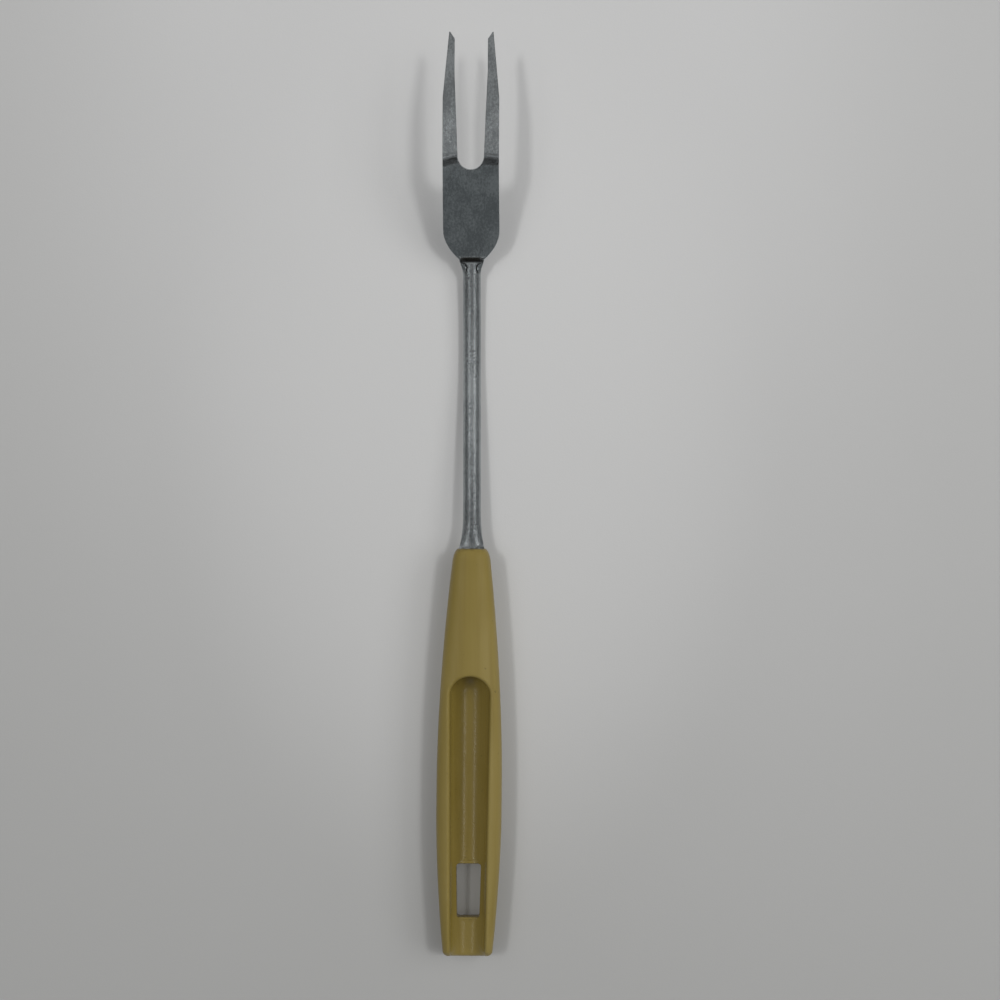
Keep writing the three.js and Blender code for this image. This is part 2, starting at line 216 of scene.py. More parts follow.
class NodeTree:
    """A node tree that is filled in from Python."""

    def __init__(self, tree: bpy.types.NodeTree) -> None:
        """Start from an emptied node tree."""
        tree.nodes.clear()
        self.tree = tree

    @classmethod
    def of_material(cls, name: str) -> tuple["NodeTree", bpy.types.Material]:
        """Make a new material.

        Args:
            name: The name of the material.

        Returns:
            Its empty node tree, and the material.
        """
        material = bpy.data.materials.new(name)
        material.use_nodes = True
        return cls(material.node_tree), material

    def node(self, kind: str, settings: dict[str, Any], sockets: dict[Any, Any]) -> bpy.types.Node:
        """Add one node.

        Args:
            kind: The node's type.
            settings: Its own settings, which are set first.
            sockets: The value or the link of each input, by its name or its number.

        Returns:
            The new node.
        """
        made = self.tree.nodes.new(kind)
        for name, setting in settings.items():
            setattr(made, name, setting)
        for key, given in sockets.items():
            source = given.socket if isinstance(given, Value) else given
            if isinstance(source, bpy.types.NodeSocket):
                self.tree.links.new(source, made.inputs[key])
            else:
                made.inputs[key].default_value = source
        return made

    def place(self) -> bpy.types.NodeSocket:
        """Return the surface point in the part's own frame."""
        return self.node("ShaderNodeTexCoord", {}, {}).outputs["Object"]

    def axes(self) -> list[Value]:
        """Return the surface point's three coordinates."""
        parts = self.node("ShaderNodeSeparateXYZ", {}, {0: self.place()})
        return [Value(self, output) for output in parts.outputs]

    def noise(self, pattern: Pattern) -> Value:
        """Add a noise pattern.

        Args:
            pattern: The pattern.

        Returns:
            Its value, from 0 to 1.
        """
        mapped = self.node(
            "ShaderNodeMapping",
            {"vector_type": "POINT"},
            {"Vector": self.place(), "Rotation": (0.0, 0.0, pattern.turn), "Scale": pattern.stretch},
        )
        node = self.node(
            "ShaderNodeTexNoise",
            {"noise_dimensions": "3D"},
            {"Vector": mapped.outputs[0], "Scale": 1.0, "Detail": pattern.detail, "Roughness": pattern.rough},
        )
        return Value(self, node.outputs[0])

    def mix(self, share: Any, first: Any, second: Any) -> bpy.types.NodeSocket:
        """Mix two colours.

        Args:
            share: The share of the second colour.
            first: The first colour, or its socket.
            second: The second colour, or its socket.

        Returns:
            The mixed colour's socket.
        """
        first = (*first, 1.0) if isinstance(first, tuple) else first
        second = (*second, 1.0) if isinstance(second, tuple) else second
        node = self.node(
            "ShaderNodeMix",
            {"data_type": "RGBA", "blend_type": "MIX", "clamp_factor": True},
            {0: share, 6: first, 7: second},
        )
        return node.outputs[2]

    def bump(self, height: Value, depth: float, before: Any = None) -> bpy.types.NodeSocket:
        """Add fine relief.

        Args:
            height: The relief, from 0 to 1.
            depth: How deep the relief is, in metres.
            before: The normal of a coarser relief below it, if there is one.

        Returns:
            The normal's socket.
        """
        sockets = {"Strength": 1.0, "Distance": depth, "Height": height}
        if before is not None:
            sockets["Normal"] = before
        return self.node("ShaderNodeBump", {}, sockets).outputs[0]

    def seen(self) -> Value:
        """Tell the rays that show a thing to the eye from the rays that light it.

        Returns:
            1 for a ray that shows it, straight, mirrored or through glass, and 0 for one that lights it.
        """
        path = self.node("ShaderNodeLightPath", {}, {}).outputs
        straight, mirrored = Value(self, path["Is Camera Ray"]), Value(self, path["Is Glossy Ray"])
        return straight + mirrored + Value(self, path["Is Transmission Ray"])

    def glow(self, kind: str, colour: Colour, strength: float = 1.0) -> bpy.types.Node:
        """Return a shader of the given type that shines with one colour."""
        return self.node(kind, {}, {"Color": (*colour, 1.0), "Strength": strength})

    def mix_shaders(self, share: Value, first: bpy.types.Node, second: bpy.types.Node) -> bpy.types.Node:
        """Return the mix of two shaders, at the given share of the second."""
        return self.node("ShaderNodeMixShader", {}, {0: share, 1: first.outputs[0], 2: second.outputs[0]})

    def surface(self, fixed: dict[str, Any], varied: dict[str, Any]) -> bpy.types.Node:
        """Add a surface shader.

        Args:
            fixed: The values that are the same all over the surface.
            varied: The links that change over the surface.

        Returns:
            The shader's node.
        """
        return self.node("ShaderNodeBsdfPrincipled", {}, {**fixed, **varied})

    def finish(self, shader: bpy.types.Node, kind: str = "ShaderNodeOutputMaterial") -> None:
        """Give the material or the world its shader."""
        self.node(kind, {}, {"Surface": shader.outputs[0]})


@dataclass(frozen=True)
class SatinSteel:
    """Stainless steel, brushed along its length and dulled by use, with painted shade in the crease of its
    neck.
    """

    bright: Colour = (0.515, 0.547, 0.557)
    dull: Colour = (0.315, 0.338, 0.348)
    stain: Colour = (0.17, 0.17, 0.165)
    # Dark colour of the real grime where the steel enters the handle, and of the painted shade in the neck's
    # crease.
    joint_grime_and_crease_shade: Colour = (0.07, 0.065, 0.05)
    roughness: float = 0.20
    roughness_spread: float = 0.05
    worn_roughness: float = 0.05
    across_brushing: float = 1.0
    brush_depth: float = 0.0000012
    scuff_depth: float = 0.0000008
    grime_reach: float = 1.6 * MM
    # How far the painted shade of the neck's crease reaches along and across the sheet.
    crease_shade_reach: Pair = (0.40 * MM, 0.95 * MM)
    crease_shade_width: Pair = (2.2 * MM, 4.6 * MM)
    cloud: Pattern = Pattern((110.0, 70.0, 110.0), 3.0, 0.5, 0.4)
    speckle: Pattern = Pattern((1500.0, 1100.0, 1500.0), 2.0, 0.6)
    brush: Pattern = Pattern((5200.0, 60.0, 900.0), 3.0, 0.6)
    scuff: Pattern = Pattern((420.0, 1500.0, 420.0), 2.0, 0.6, 0.7)
    pit: Pattern = Pattern((1050.0, 760.0, 1050.0), 2.0, 0.5, 0.2)
    dirt: Pattern = Pattern((620.0, 500.0, 620.0), 2.0, 0.6)
    tone_shares: Triple = (0.45, 0.15, 0.4)
    tone_range: Pair = (0.40, 0.60)
    worn_range: Pair = (0.62, 0.74)
    worn_share: float = 0.12
    pit_range: Pair = (0.76, 0.84)
    pit_share: float = 0.4
    dirt_range: Pair = (0.46, 0.62)
    dirt_share: float = 0.8
    # How strong the painted shade in the neck's crease is.
    crease_share: float = 0.9

    def material(self, joint: float, crease: float) -> bpy.types.Material:
        """Make the steel's material.

        Args:
            joint: Where along the fork the steel enters the handle.
            crease: Where along the fork the crease of its neck is, where shade is painted.

        Returns:
            The material.
        """
        tree, material = NodeTree.of_material("satin_steel")
        across, along, _ = tree.axes()
        cloud, speckle, brush = tree.noise(self.cloud), tree.noise(self.speckle), tree.noise(self.brush)
        scuff, pit, dirt = tree.noise(self.scuff), tree.noise(self.pit), tree.noise(self.dirt)
        worn = scuff.rise(*self.worn_range)
        of_cloud, of_brush, of_speckle = self.tone_shares
        tone = cloud * of_cloud + brush * of_brush + speckle * of_speckle
        colour = tree.mix(tone.rise(*self.tone_range), self.dull, self.bright)
        colour = tree.mix(worn * self.worn_share, colour, self.bright)
        colour = tree.mix(pit.rise(*self.pit_range) * self.pit_share, colour, self.stain)
        caught = 1.0 - along.rise(joint, joint + self.grime_reach)
        colour = tree.mix(caught * dirt.rise(*self.dirt_range) * self.dirt_share, colour, self.joint_grime_and_crease_shade)
        # Painted shade: the crease of the neck is darkened almost to black across the middle of the sheet.
        near_crease = 1.0 - abs(along - crease).rise(*self.crease_shade_reach)
        crease_shade = near_crease * (1.0 - abs(across).rise(*self.crease_shade_width))
        colour = tree.mix(crease_shade * self.crease_share, colour, self.joint_grime_and_crease_shade)
        rough = self.roughness + (tone - 0.5) * self.roughness_spread + worn * self.worn_roughness
        relief = tree.bump(scuff, self.scuff_depth)
        relief = tree.bump(brush, self.brush_depth, relief)
        tree.finish(tree.surface(
            {"Metallic": 1.0, "Anisotropic": self.across_brushing},
            {"Base Color": colour, "Roughness": rough, "Normal": relief},
        ))
        return material


@dataclass(frozen=True)
class MouldedPlastic:
    """Olive brown plastic with a soft gloss, a little mottled and worn, with painted shade darkening its
    groove.
    """

    body: Colour = (0.230, 0.172, 0.040)
    pale: Colour = (0.262, 0.200, 0.056)
    # Deep tone of the flow streaks, also used for the painted shade in the groove.
    deep_tone_and_groove_shade: Colour = (0.190, 0.136, 0.028)
    grime: Colour = (0.075, 0.055, 0.018)
    light_bending: float = 1.5
    roughness: float = 0.44
    groove_roughness: float = 0.24
    roughness_spread: float = 0.14
    grain_roughness: float = 0.08
    groove_sides: Pair = (5.8 * MM, 7.3 * MM)
    groove_tops: Pair = (9.6 * MM, 12.6 * MM)
    grime_reach: float = 1.3 * MM
    mottle_depth: float = 0.00004
    ripple_depth: float = 0.00009
    grain_depth: float = 0.000010
    cloud: Pattern = Pattern((70.0, 22.0, 70.0), 3.0)
    flow: Pattern = Pattern((420.0, 12.0, 420.0), 2.0)
    grain: Pattern = Pattern((2600.0, 2200.0, 2600.0), 3.0, 0.6)
    wear: Pattern = Pattern((900.0, 260.0, 900.0), 3.0, 0.65, 0.3)
    speck: Pattern = Pattern((760.0, 700.0, 760.0), 1.0, 0.4, 0.5)
    ripple: Pattern = Pattern((380.0, 1050.0, 380.0), 1.0, 0.5, 0.1)
    cloud_range: Pair = (0.35, 0.7)
    flow_range: Pair = (0.5, 0.8)
    flow_share: float = 0.5
    wear_range: Pair = (0.6, 0.75)
    wear_share: float = 0.35
    # Share of the painted shade in the groove.
    groove_shade_share: float = 0.18
    speck_range: Pair = (0.74, 0.80)
    speck_share: float = 0.4
    grime_range: Pair = (0.45, 0.65)
    grime_share: float = 0.6

    def material(self, joint: float) -> bpy.types.Material:
        """Make the plastic's material.

        Args:
            joint: Where along the handle the steel enters it.

        Returns:
            The material.
        """
        tree, material = NodeTree.of_material("moulded_plastic")
        across, along, height = tree.axes()
        inside = (1.0 - abs(across).rise(*self.groove_sides)) * (1.0 - height.rise(*self.groove_tops))
        cloud, flow, grain = tree.noise(self.cloud), tree.noise(self.flow), tree.noise(self.grain)
        wear, speck, ripple = tree.noise(self.wear), tree.noise(self.speck), tree.noise(self.ripple)
        colour = tree.mix(cloud.rise(*self.cloud_range), self.body, self.pale)
        colour = tree.mix(flow.rise(*self.flow_range) * self.flow_share, colour, self.deep_tone_and_groove_shade)
        colour = tree.mix(wear.rise(*self.wear_range) * self.wear_share, colour, self.pale)
        # Painted shade: the groove's walls and floor are darkened towards the deep tone.
        colour = tree.mix(inside * self.groove_shade_share, colour, self.deep_tone_and_groove_shade)
        colour = tree.mix(speck.rise(*self.speck_range) * self.speck_share, colour, self.grime)
        caught = along.rise(joint - self.grime_reach, joint)
        colour = tree.mix(caught * wear.rise(*self.grime_range) * self.grime_share, colour, self.grime)
        rough = self.roughness + inside * (self.groove_roughness - self.roughness)
        rough = rough + (wear - 0.5) * self.roughness_spread + (grain - 0.5) * self.grain_roughness
        relief = tree.bump(cloud, self.mottle_depth)
        relief = tree.bump(ripple * inside, self.ripple_depth, relief)
        relief = tree.bump(grain, self.grain_depth, relief)
        tree.finish(tree.surface(
            {"IOR": self.light_bending},
            {"Base Color": colour, "Roughness": rough, "Normal": relief},
        ))
        return material


@dataclass(frozen=True)
class PaleFloor:
    """A pale matt floor with painted light and shade, which runs into an even backdrop far from the object.
    """

    backdrop: Colour = (0.40, 0.40, 0.405)
    lit_to: float = 0.40
    backdrop_from: float = 1.20
    # Painted falloff of light: the floor's colour at the near end and at the far end.
    near: Colour = (0.43, 0.43, 0.42)
    far: Colour = (0.61, 0.61, 0.605)
    # Painted pool of light round the fork: its colour, middle, size and strength.
    light_pool: Colour = (0.70, 0.70, 0.692)
    pool_middle: float = 0.03
    pool_size: Pair = (0.12, 0.19)
    pool_share: float = 0.4
    # Painted shade towards both sides of the floor.
    edges: Pair = (0.08, 0.20)
    side_shade_share: float = 0.5
    reach: float = 0.24
    sideways: float = 0.14
    roughness: float = 0.85
    cloud: Pattern = Pattern((9.0, 9.0, 9.0), 2.0)
    cloud_shift: float = 0.05
    grain: Pattern = Pattern((1500.0, 1500.0, 1500.0), 2.0)
    grain_depth: float = 0.00003

    def material(self) -> bpy.types.Material:
        """Make the floor's material.

        Returns:
            The material.
        """
        tree, material = NodeTree.of_material("pale_floor")
        across, along, _ = tree.axes()
        drift = (tree.noise(self.cloud) - 0.5) * self.cloud_shift
        # Painted falloff of light: the floor is darker towards the near end and the left side.
        painted_falloff = (along + across * self.sideways + drift).rise(-self.reach, self.reach)
        colour = tree.mix(painted_falloff, self.near, self.far)
        # Painted pool of light round the fork.
        side = across * (1.0 / self.pool_size[0])
        ahead = (along - self.pool_middle) * (1.0 / self.pool_size[1])
        light_pool = 1.0 - (side * side + ahead * ahead).rise(0.0, 1.0)
        colour = tree.mix(light_pool * self.pool_share, colour, self.light_pool)
        # Painted shade: the floor is darker towards both sides.
        colour = tree.mix(abs(across).rise(*self.edges) * self.side_shade_share, colour, self.near)
        matt = tree.surface(
            {"Roughness": self.roughness},
            {"Base Color": colour, "Normal": tree.bump(tree.noise(self.grain), self.grain_depth)},
        )
        away = (across * across + along * along).rise(self.lit_to**2, self.backdrop_from**2)
        backdrop = tree.glow("ShaderNodeEmission", self.backdrop)
        tree.finish(tree.mix_shaders(away * tree.seen(), matt, backdrop))
        return material


@dataclass(frozen=True)
class MirroredCard:
    """A studio card that shows only in reflections: how bright it is, its size and where it hangs."""

    name: str
    brightness: float
    size: Pair
    place: Triple
    lean: float = 0.0
    tint: Colour = (1.0, 1.0, 1.0)

    def material(self) -> bpy.types.Material:
        """Make the card's material.

        Returns:
            The material.
        """
        tree, material = NodeTree.of_material(self.name)
        tree.finish(tree.glow("ShaderNodeEmission", self.tint, self.brightness))
        return material


@dataclass(frozen=True)
class SideBow:
    """How far an old fork is bowed to the right, at places along it."""

    places: tuple[float, ...] = (-165.0 * MM, -10.0 * MM, 88.0 * MM, 104.0 * MM)
    offsets: tuple[float, ...] = (-0.15 * MM, 0.72 * MM, 0.12 * MM, 0.0)

    def offset(self, along: float) -> float:
        """Return the offset to the right at a place along the fork."""
        return float(np.interp(along, self.places, self.offsets))


class Skin:
    """Collects the faces of one closed mesh and makes its object."""

    sharp_from = math.radians(38.0)
    point_cell = 5 * SAME_PLACE

    def __init__(self) -> None:
        """Start with no faces."""
        self.mesh = bmesh.new()

    def _points(self, places: Sequence[Any]) -> list[bmesh.types.BMVert]:
        """Return new points of the mesh at the given places."""
        return [self.mesh.verts.new(place) for place in places]

    def grid(self, rows: Sequence[np.ndarray], around: bool) -> None:
        """Add a grid of faces.

        Args:
            rows: The points of each row, all of one length.
            around: Whether each row closes on itself.
        """
        made = [self._points(row) for row in rows]
        count = len(made[0])
        last = count if around else count - 1
        for first, second in zip(made, made[1:]):
            for i in range(last):
                j = (i + 1) % count
                self.mesh.faces.new((first[i], first[j], second[j], second[i]))

    def fan(self, ring: np.ndarray) -> None:
        """Close a ring with faces that meet at its middle.

        Args:
            ring: The ring's points.
        """
        rim = self._points(ring)
        middle = self.mesh.verts.new(np.mean(ring, axis=0))
        for first, second in zip(rim, rim[1:] + rim[:1]):
            self.mesh.faces.new((first, second, middle))

    def plate(self, outline: np.ndarray) -> None:
        """Add one flat face with the given outline."""
        self.mesh.faces.new(self._points(outline))

    def merge(self) -> None:
        """Join the points that lie in the same place."""
        bmesh.ops.remove_doubles(self.mesh, verts=self.mesh.verts, dist=SAME_PLACE)
        bmesh.ops.dissolve_degenerate(self.mesh, dist=THINNEST_FACE, edges=self.mesh.edges)

    def open_window(self, inside: Callable[[Vector], bool]) -> list[bmesh.types.BMEdge]:
        """Take out the faces of a region.

        Args:
            inside: Tells whether a face's middle is in the region.

        Returns:
            The edges round the hole.
        """
        gone = {face for face in self.mesh.faces if inside(face.calc_center_median())}
        rim = [
            edge for edge in self.mesh.edges
            if 0 < len(gone.intersection(edge.link_faces)) < len(edge.link_faces)
        ]
        bmesh.ops.delete(self.mesh, geom=list(gone), context="FACES")
        return rim

    def _cell(self, place: Any) -> tuple[int, ...]:
        """Return the small cell of space that a place is in."""
        return tuple(np.round(np.array(place, float) / self.point_cell).astype(int))

    def bridge(self, rim: list[bmesh.types.BMEdge], ring: np.ndarray) -> None:
        """Join the edges round a hole to a ring of points with faces.

        Args:
            rim: The edges round the hole, some of which may be gone by now.
            ring: The points of an open ring, which are already in the mesh.
        """
        cells = {self._cell(place) for place in ring}
        edges = [edge for edge in rim if edge.is_valid]
        edges += [
            edge for edge in self.mesh.edges
            if edge.is_boundary and all(self._cell(vert.co) in cells for vert in edge.verts)
        ]
        bmesh.ops.bridge_loops(self.mesh, edges=edges)

    def bow(self, side: SideBow) -> None:
        """Bow the mesh to the side."""
        for vert in self.mesh.verts:
            vert.co.x += side.offset(vert.co.y)

    def object(self, name: str, material: bpy.types.Material) -> bpy.types.Object:
        """Make the object.

        Args:
            name: The piece's name.
            material: Its finish.

        Returns:
            The new object, smooth shaded.
        """
        bmesh.ops.recalc_face_normals(self.mesh, faces=self.mesh.faces)
        open_edges = sum(1 for edge in self.mesh.edges if not edge.is_manifold)
        log.info("%s: %d faces, %d open edges", name, len(self.mesh.faces), open_edges)
        data = bpy.data.meshes.new(name)
        self.mesh.to_mesh(data)
        self.mesh.free()
        data.shade_smooth()
        data.set_sharp_from_angle(angle=self.sharp_from)
        data.materials.append(material)
        made = bpy.data.objects.new(name, data)
        bpy.context.scene.collection.objects.link(made)
        return made


@dataclass(frozen=True)
class SheetEdge:
    """One edge of a strip of sheet, on the flat sheet before it is formed."""

    across: float
    along: float
    in_across: float
    in_along: float = 0.0

    def inward(self, distance: float) -> Pair:
        """Return the point at a distance inside the edge."""
        return self.across + self.in_across * distance, self.along + self.in_along * distance


@dataclass
class SteelFork:
    """The one-piece steel stamping: tang, arched shank, bent head and two tines.

    Slopes are in degrees. A turn or a bow lists pairs of a share of its length and the slope there.
    """

    thickness: float = 1.4 * MM
    edge_rounding: float = 0.28 * MM
    rounding_limit: float = 0.45
    tang_length: float = 36.0 * MM
    tang_width: float = 8.8 * MM
    tang_end_taper: float = 5.0 * MM
    tang_end_width: float = 5.6 * MM
    tang_hole_diameter: float = 4.0 * MM
    tang_hole_from_end: float = 14.0 * MM
    flare_length: float = 15.0 * MM
    mouth_arch: float = 0.25
    mouth_arch_length: float = 1.5 * MM
    flare_curve: float = 3.0
    mouth_strip_width: float = 9.1 * MM
    shank_length: float = 101.75 * MM
    shank_arch_radius: float = 3.68 * MM
    shank_arch_degrees: float = 130.0
    flattest_arch: float = 1e-4
    neck_bend_length: float = 5.7 * MM
    neck_turn: tuple[Pair, ...] = ((0.30, 6.0), (0.42, 12.0), (0.68, 18.0))
    crease_share: float = 0.55
    neck_width: float = 9.0 * MM
    neck_overlap: float = 2.5 * MM
    neck_arch_fade: float = 2.6 * MM
    neck_spread_from: float = 0.7
    neck_flat: float = 2.2 * MM
    head_length: float = 30.0 * MM
    head_width: float = 20.3 * MM
    head_round_length: float = 10.6 * MM
    root_bend_length: float = 5.0 * MM
    root_turn: tuple[Pair, ...] = ((0.12, 23.0), (0.56, 17.0))
    root_lean_left: float = 0.26
    root_lean_right: float = 0.12
    root_lean_fade: Pair = (16.0 * MM, 3.0 * MM)
    root_shift_limit: float = 4.0 * MM
    tine_length: float = 43.0 * MM
    shank_slope: float = -4.25
    shank_bow: tuple[Pair, ...] = ((0.55, -4.25), (0.74, 0.0), (1.0, 5.0))
    shank_clearance: float = 2.3 * MM
    head_slope_at_neck: float = 26.0
    head_slope_at_root: float = 24.5
    tine_slope_at_root: float = 2.0
    tine_slope_at_tip: float = -8.0
    crotch_radius: float = 4.6 * MM
    crotch_below_root: float = 0.95 * MM
    crotch_reach: float = 6.0 * MM
    gap_at_tip: float = 11.6 * MM
    gap_taper_length: float = 30.0 * MM
    span_at_root: float = 19.8 * MM
    span_at_tip: float = 15.6 * MM
    span_taper_length: float = 24.0 * MM
    tip_bevel_length: float = 2.7 * MM
    tip_flat: float = 0.3 * MM
    tip_rounding: float = 0.45 * MM
    tip_thinning: float = 1.6
    shine_middle: Triple = (0.0, -10.0, 0.0)
    shine_size: Triple = (1000.0, 1.0, 1.0)
    half_points: int = 12
    corner_points: int = 5
    crotch_steps: int = 18
    hole_steps: int = 24
    shift_points: int = 33
    table_end: float = 1.001
    side_view_step: float = 0.05 * MM
    past_tip: float = 1.0 * MM
    tang_step: float = 1.0 * MM
    plain_step: float = 2.0 * MM
    flare_step: float = 0.4 * MM
    neck_step: float = 0.15 * MM
    round_step: float = 0.25 * MM
    head_step: float = 0.5 * MM
    crotch_step: float = 0.3 * MM
    tine_step: float = 0.8 * MM
    tip_step: float = 0.12 * MM
    settle_step: float = 0.5 * MM

    def __post_init__(self) -> None:
        """Work out the landmarks along the sheet and tables of its side view, for each shift of the root."""
        self.neck_end = self.shank_length + self.neck_bend_length
        self.round_start = self.neck_end - self.neck_overlap
        self.round_end = self.round_start + self.head_round_length
        self.root_start = self.neck_end + self.head_length
        self.root_end = self.root_start + self.root_bend_length
        self.tip = self.root_end + self.tine_length
        self.taper_start = self.tip - self.span_taper_length
        self.neck_start = self.shank_length - self.neck_arch_fade
        self.arch_half = math.radians(self.shank_arch_degrees / 2)
        self.shank_half = (self.shank_arch_radius - self.thickness / 2) * self.arch_half
        self.mouth_place = 0.0
        self.lift = 0.0
        self.middle = self.shift_points // 2
        self.shifts = np.linspace(-self.root_shift_limit, self.root_shift_limit, self.shift_points)
        self.runs = spaced(-self.tang_length, self.tip + self.past_tip, self.side_view_step)
        slopes = np.array([self._slope(self.runs, np.full_like(self.runs, shift)) for shift in self.shifts])
        step = self.runs[1] - self.runs[0]
        mid = (slopes[:, 1:] + slopes[:, :-1]) / 2
        zero = np.zeros((len(self.shifts), 1))
        self.forward = np.concatenate((zero, np.cumsum(np.cos(mid) * step, axis=1)), axis=1)
        self.upward = np.concatenate((zero, np.cumsum(np.sin(mid) * step, axis=1)), axis=1)
        mouth = np.searchsorted(self.runs, 0.0)
        neck = np.searchsorted(self.runs, self.shank_length)
        self.forward -= self.forward[:, mouth : mouth + 1]
        self.upward -= self.upward[:, neck : neck + 1]

    def _root_shift(self, across: np.ndarray) -> np.ndarray:
        """Find how far along the sheet the tine roots bend later.

        Args:
            across: Places across the sheet.

        Returns:
            The shift at each of them.
        """
        middle = (self.span_at_root / 2 + self.crotch_radius) / 2
        share = smooth_step(across, -self.crotch_radius, self.crotch_radius)
        lean = blend(self.root_lean_left, self.root_lean_right, share)
        return -lean * (np.maximum(np.abs(across), self.crotch_radius) - middle)

    def _slope(self, along: np.ndarray, shift: np.ndarray) -> np.ndarray:
        """Find the slope of the sheet, which turns evenly between its landmarks.

        Args:
            along: Places along the sheet.
            shift: How far the root bend is moved along at each of them.

        Returns:
            The slopes, in radians.
        """
        fade_start, fade_end = self.root_lean_fade
        ahead = smooth_step(along, self.root_start - fade_start, self.root_start - fade_end)
        head = ((0.0, self.head_slope_at_neck), (1.0, self.head_slope_at_root))
        tine = ((0.0, self.tine_slope_at_root), (1.0, self.tine_slope_at_tip))
        marks = [(-self.tang_length, self.shank_slope)]
        for start, length, turns in (
            (0.0, self.shank_length, self.shank_bow),
            (self.shank_length, self.neck_bend_length, self.neck_turn),
            (self.neck_end, self.head_length, head),
            (self.root_start, self.root_bend_length, self.root_turn),
            (self.root_end, self.tine_length, tine),
        ):
            marks += [(start + share * length, turn) for share, turn in turns]
        places, slopes = zip(*marks)
        return np.radians(np.interp(along - shift * ahead, places, slopes))

    def _flare(self, along: Any) -> Any:
        """Return how far the sheet has drawn in from its width at the handle's mouth to the shank's."""
        return 1.0 - (1.0 - np.clip(along / self.flare_length, 0.0, 1.0)) ** self.flare_curve

    def _arch(self, along: np.ndarray) -> np.ndarray:
        """Find half the angle that the sheet is arched through.

        Args:
            along: Places along the sheet.

        Returns:
            The half angle at each of them.
        """
        closing = 1.0 - smooth_step(along, self.neck_start, self.shank_length + self.neck_flat)
        opening = blend(self._flare(along), smooth_step(along, 0.0, self.mouth_arch_length), self.mouth_arch)
        return self.arch_half * np.minimum(opening, closing)

    def _half_strip(self, along: float) -> float:
        """Find half the width of the flat sheet before it is arched.

        Args:
            along: The place along the sheet.

        Returns:
            Half its width there.
        """
        if along < 0.0:
            share = np.clip((-along - self.tang_length + self.tang_end_taper) / self.tang_end_taper, 0.0, 1.0)
            return blend(self.tang_width, self.tang_end_width, share) / 2
        if along < self.neck_start:
            return blend(self.mouth_strip_width / 2, self.shank_half, self._flare(along))
        if along < self.round_start:
            spread_start = self.neck_start + self.neck_spread_from * self.neck_arch_fade
            share = smooth_step(along, spread_start, self.round_start)
            return blend(self.shank_half, self.neck_width / 2, share)
        if along < self.round_end:
            before = (self.round_end - along) / self.head_round_length
            return blend(self.head_width, self.neck_width, before**2) / 2
        if along < self.taper_start:
            share = min(1.0, (along - self.round_end) / (self.root_start - self.round_end))
            return blend(self.head_width, self.span_at_root, share) / 2
        share = (along - self.taper_start) / self.span_taper_length
        return blend(self.span_at_root, self.span_at_tip, share) / 2

    def _table_place(self, value: np.ndarray, marks: np.ndarray) -> tuple[np.ndarray, np.ndarray]:
        """Find where values lie among evenly spaced marks.

        Args:
            value: The values.
            marks: The marks.

        Returns:
            The number of the mark below each value, and the share of the way to the next one.
        """
        place = np.clip((value - marks[0]) / (marks[1] - marks[0]), 0, len(marks) - self.table_end)
        low = place.astype(int)
        return low, place - low

    def form(self, flat: np.ndarray) -> np.ndarray:
        """Form points of the flat sheet into the shape of the fork.

        Args:
            flat: Points as distance across, distance along and height off the middle of the sheet.

        Returns:
            The same points in the part's frame.
        """
        across, along, height = flat.T
        shift = self._root_shift(across)
        low, share = self._table_place(shift, self.shifts)
        left, part = self._table_place(along, self.runs)

        def read(table: np.ndarray) -> np.ndarray:
            """Read a side view table at each point.

            Args:
                table: The table.

            Returns:
                Its value at each point.
            """
            near = blend(table[low, left], table[low, left + 1], part)
            far = blend(table[low + 1, left], table[low + 1, left + 1], part)
            return blend(near, far, share)

        slope = self._slope(along, shift)
        half = np.array([self._half_strip(place) for place in along])
        arch = np.maximum(self._arch(along), self.flattest_arch)
        turn = arch * across / half
        radius = half / arch
        rise = radius * (np.cos(turn) - 1.0) + height * np.cos(turn)
        return np.column_stack((
            radius * np.sin(turn) + height * np.sin(turn),
            self.mouth_place + read(self.forward) - rise * np.sin(slope),
            self.lift + read(self.upward) + rise * np.cos(slope),
        ))

    def _along_at(self, plan: float) -> float:
        """Return the place along the sheet that lies at a plan distance from the mouth."""
        return float(np.interp(plan, self.forward[self.middle], self.runs))

    def _plan_at(self, along: float) -> float:
        """Return the plan distance from the mouth of a place along the sheet."""
        return float(np.interp(along, self.runs, self.forward[self.middle]))

    def _ring(self, left: SheetEdge, right: SheetEdge, points: int, thickness: float) -> np.ndarray:
        """Make the ring round a strip of sheet.

        Args:
            left: The strip's left edge.
            right: Its right edge.
            points: How many points each face has.
            thickness: How thick the sheet is there.

        Returns:
            The ring's points on the flat sheet: the upper face from left to right, then the lower one back.
        """
        room = math.hypot(right.across - left.across, right.along - left.along)
        radius = min(self.edge_rounding, self.rounding_limit * room, self.rounding_limit * thickness)
        half = thickness / 2
        shares = np.linspace(0.0, 1.0, points)
        inner_left = np.array(left.inward(radius))
        inner_right = np.array(right.inward(radius))
        face = inner_left + (inner_right - inner_left) * shares[:, None]
        angles = np.linspace(0.0, QUARTER_TURN, self.corner_points + 1)[1:]

        def rim(edge: SheetEdge) -> np.ndarray:
            """Make the points round an edge.

            Args:
                edge: The edge.

            Returns:
                The points, from the upper face to the lower one.
            """
            out = [
                (*edge.inward(radius * (1 - math.sin(angle))), half - radius * (1 - math.cos(angle)))
                for angle in angles
            ]
            back = [(across, along, -height) for across, along, height in reversed(out)]
            return np.array(out + back)

        upper = np.column_stack((face, np.full(points, half)))
        lower = np.column_stack((face[::-1], np.full(points, -half)))
        return np.concatenate((upper, rim(right), lower, rim(left)[::-1]))

